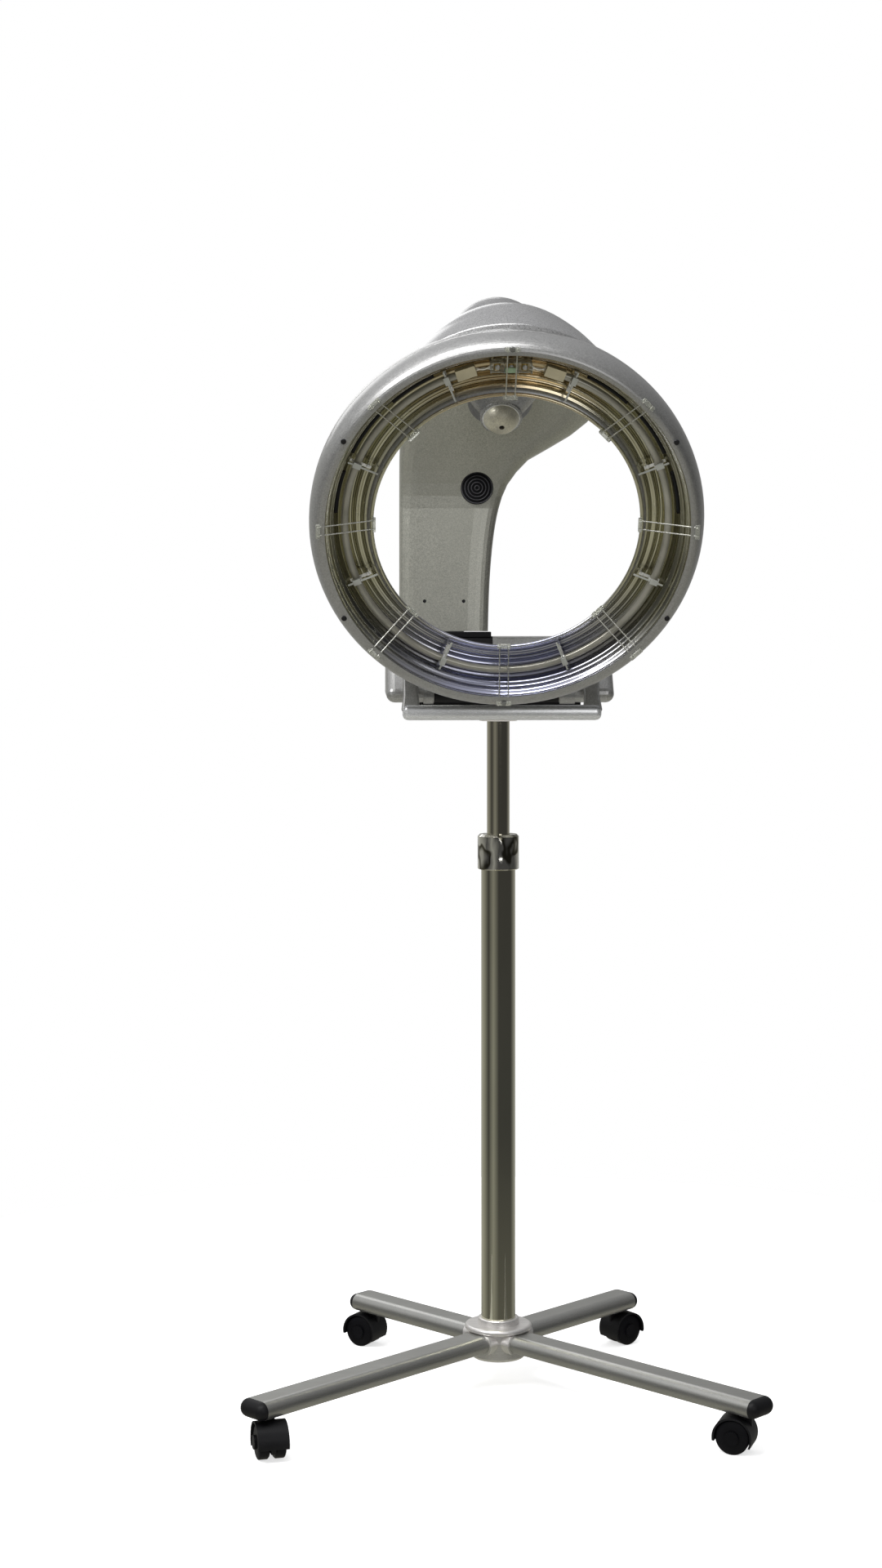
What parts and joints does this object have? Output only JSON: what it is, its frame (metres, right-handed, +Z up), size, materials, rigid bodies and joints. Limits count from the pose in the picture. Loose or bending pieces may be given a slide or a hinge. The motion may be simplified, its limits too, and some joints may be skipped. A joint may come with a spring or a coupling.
{
  "type": "hair color processor",
  "caption": "floor-standing salon heater: a tilted ring with a stepped reflector orbits a seated head on a hooked arm above a control box, sliding pole and cross base on casters",
  "frame": {"origin": "on the floor under the pole axis", "axes": "+Z up, the ring's open face towards -Y, +X to the right seen from the front"},
  "size_m": [0.6813, 0.5655, 1.5278],
  "materials": {
    "satin_metal": "satin brushed",
    "fastener_steel": "plain machined",
    "black_plastic": "matte moulded",
    "wheel_plastic": "satin moulded",
    "chrome_tube": "polished plating",
    "silver_paint": "metallic silver with fine flake",
    "arm_paint": "metallic silver with fine flake",
    "cast_flange": "satin cast",
    "nylon": "matte moulded",
    "panel_plastic": "fine texture",
    "window_glass": "smoked, glossy",
    "board_green": "printed board",
    "transformer_core": "varnished laminations",
    "button_grey": "satin moulded",
    "bearing_steel": "ground",
    "polished_reflector": "bright polished",
    "heater_cream": "smooth coated",
    "ceramic": "matte",
    "clip_steel": "bright drawn",
    "clear_plastic": "clear moulded",
    "black_screws": "black oxide"
  },
  "bodies": {
    "base": {"hub_upper": "satin_metal", "hub_lower": "satin_metal", "hub_bolt": "fastener_steel", "leg_front_left": "satin_metal", "leg_front_right": "satin_metal", "leg_rear_left": "satin_metal", "leg_rear_right": "satin_metal", "leg_caps": "black_plastic", "caster_sockets": "black_plastic", "lower_pole": "chrome_tube", "pole_collet": "black_plastic"},
    "collar": {"lock_collar": "chrome_tube"},
    "mast": {"mast": "chrome_tube", "mast_foot": "nylon"},
    "head": {"pole_flange": "cast_flange", "box_front": "silver_paint", "box_rear": "silver_paint", "control_panel": "panel_plastic", "display_window": "window_glass", "control_board": "board_green", "power_transformer": "transformer_core", "cord_gland": "black_plastic", "front_handle": "silver_paint", "handle_screws": "black_screws", "tilt_bracket": "fastener_steel", "tilt_pin": "fastener_steel", "slot_boot": "black_plastic"},
    "rocker": {"power_rocker": "black_plastic"},
    "time_key": {"button_time": "button_grey"},
    "heat_key": {"button_heat": "button_grey"},
    "start_key": {"button_start": "button_grey"},
    "arm": {"arm_front": "arm_paint", "arm_rear": "arm_paint", "arm_spine": "fastener_steel", "grille": "black_plastic", "arm_screws": "black_screws", "motor_housing": "silver_paint", "housing_cap": "silver_paint", "shaft_bearings": "bearing_steel", "orbit_motor": "transformer_core"},
    "ring": {"orbit_shaft": "fastener_steel", "hub_cap": "silver_paint", "neck": "silver_paint", "ring_front": "silver_paint", "ring_back": "silver_paint", "reflector": "polished_reflector", "heater_tube": "heater_cream", "tube_ends": "ceramic", "tube_clips": "clip_steel", "guard_wires": "clip_steel", "terminal_block": "clear_plastic", "ring_screws": "black_screws"},
    "caster_front_left": {"caster_front_left": "black_plastic"},
    "wheels_front_left": {"wheels_front_left": "wheel_plastic"},
    "caster_front_right": {"caster_front_right": "black_plastic"},
    "wheels_front_right": {"wheels_front_right": "wheel_plastic"},
    "caster_rear_left": {"caster_rear_left": "black_plastic"},
    "wheels_rear_left": {"wheels_rear_left": "wheel_plastic"},
    "caster_rear_right": {"caster_rear_right": "black_plastic"},
    "wheels_rear_right": {"wheels_rear_right": "wheel_plastic"}
  },
  "joints": [
    {"name": "collar_turn", "type": "hinge", "parent": "base", "child": "collar", "pos_m": [0, 0, 0.745], "axis": [0, 0, 1], "range_deg": [0, 90]},
    {"name": "height_slide", "type": "slide", "parent": "base", "child": "mast", "axis": [0, 0, 1], "range_m": [-0.15, 0.25]},
    {"name": "head_swivel", "type": "hinge", "parent": "mast", "child": "head", "pos_m": [0, 0, 0.928], "axis": [0, 0, 1], "range_deg": [-170, 170]},
    {"name": "arm_tilt", "type": "hinge", "parent": "head", "child": "arm", "pos_m": [-0.073, 0.094, 1.0016], "axis": [-1, 0, 0], "range_deg": [0, 10]},
    {"name": "ring_orbit", "type": "hinge", "parent": "arm", "child": "ring", "pos_m": [0, 0.034, 1.45786], "axis": [0, -0.7071, -0.7071], "continuous": true},
    {"name": "power_rock", "type": "hinge", "parent": "head", "child": "rocker", "pos_m": [0.095, 0.14101, 1.01588], "axis": [1, 0, 0], "range_deg": [-8, 8]},
    {"name": "time_press", "type": "slide", "parent": "head", "child": "time_key", "axis": [0, -0.669, -0.7433], "range_m": [0, 0.0012], "stiffness_N_per_m": 800, "springref_m": -0.0005},
    {"name": "heat_press", "type": "slide", "parent": "head", "child": "heat_key", "axis": [0, -0.669, -0.7433], "range_m": [0, 0.0012], "stiffness_N_per_m": 800, "springref_m": -0.0005},
    {"name": "start_press", "type": "slide", "parent": "head", "child": "start_key", "axis": [0, -0.669, -0.7433], "range_m": [0, 0.0012], "stiffness_N_per_m": 800, "springref_m": -0.0005},
    {"name": "swivel_front_left", "type": "hinge", "parent": "base", "child": "caster_front_left", "pos_m": [-0.31147, -0.30079, 0.05], "axis": [0, 0, 1], "continuous": true},
    {"name": "roll_front_left", "type": "hinge", "parent": "caster_front_left", "child": "wheels_front_left", "pos_m": [-0.30809, -0.31437, 0.022], "axis": [0.9703, 0.2419, 0], "continuous": true},
    {"name": "swivel_front_right", "type": "hinge", "parent": "base", "child": "caster_front_right", "pos_m": [0.30079, -0.31147, 0.05], "axis": [0, 0, 1], "continuous": true},
    {"name": "roll_front_right", "type": "hinge", "parent": "caster_front_right", "child": "wheels_front_right", "pos_m": [0.28772, -0.30646, 0.022], "axis": [-0.3584, -0.9336, 0], "continuous": true},
    {"name": "swivel_rear_left", "type": "hinge", "parent": "base", "child": "caster_rear_left", "pos_m": [-0.17505, 0.18127, 0.05], "axis": [0, 0, 1], "continuous": true},
    {"name": "roll_rear_left", "type": "hinge", "parent": "caster_rear_left", "child": "wheels_rear_left", "pos_m": [-0.18705, 0.18848, 0.022], "axis": [-0.515, -0.8572, 0], "continuous": true},
    {"name": "swivel_rear_right", "type": "hinge", "parent": "base", "child": "caster_rear_right", "pos_m": [0.18127, 0.17505, 0.05], "axis": [0, 0, 1], "continuous": true},
    {"name": "roll_rear_right", "type": "hinge", "parent": "caster_rear_right", "child": "wheels_rear_right", "pos_m": [0.19288, 0.18288, 0.022], "axis": [-0.5592, 0.829, 0], "continuous": true}
  ]
}
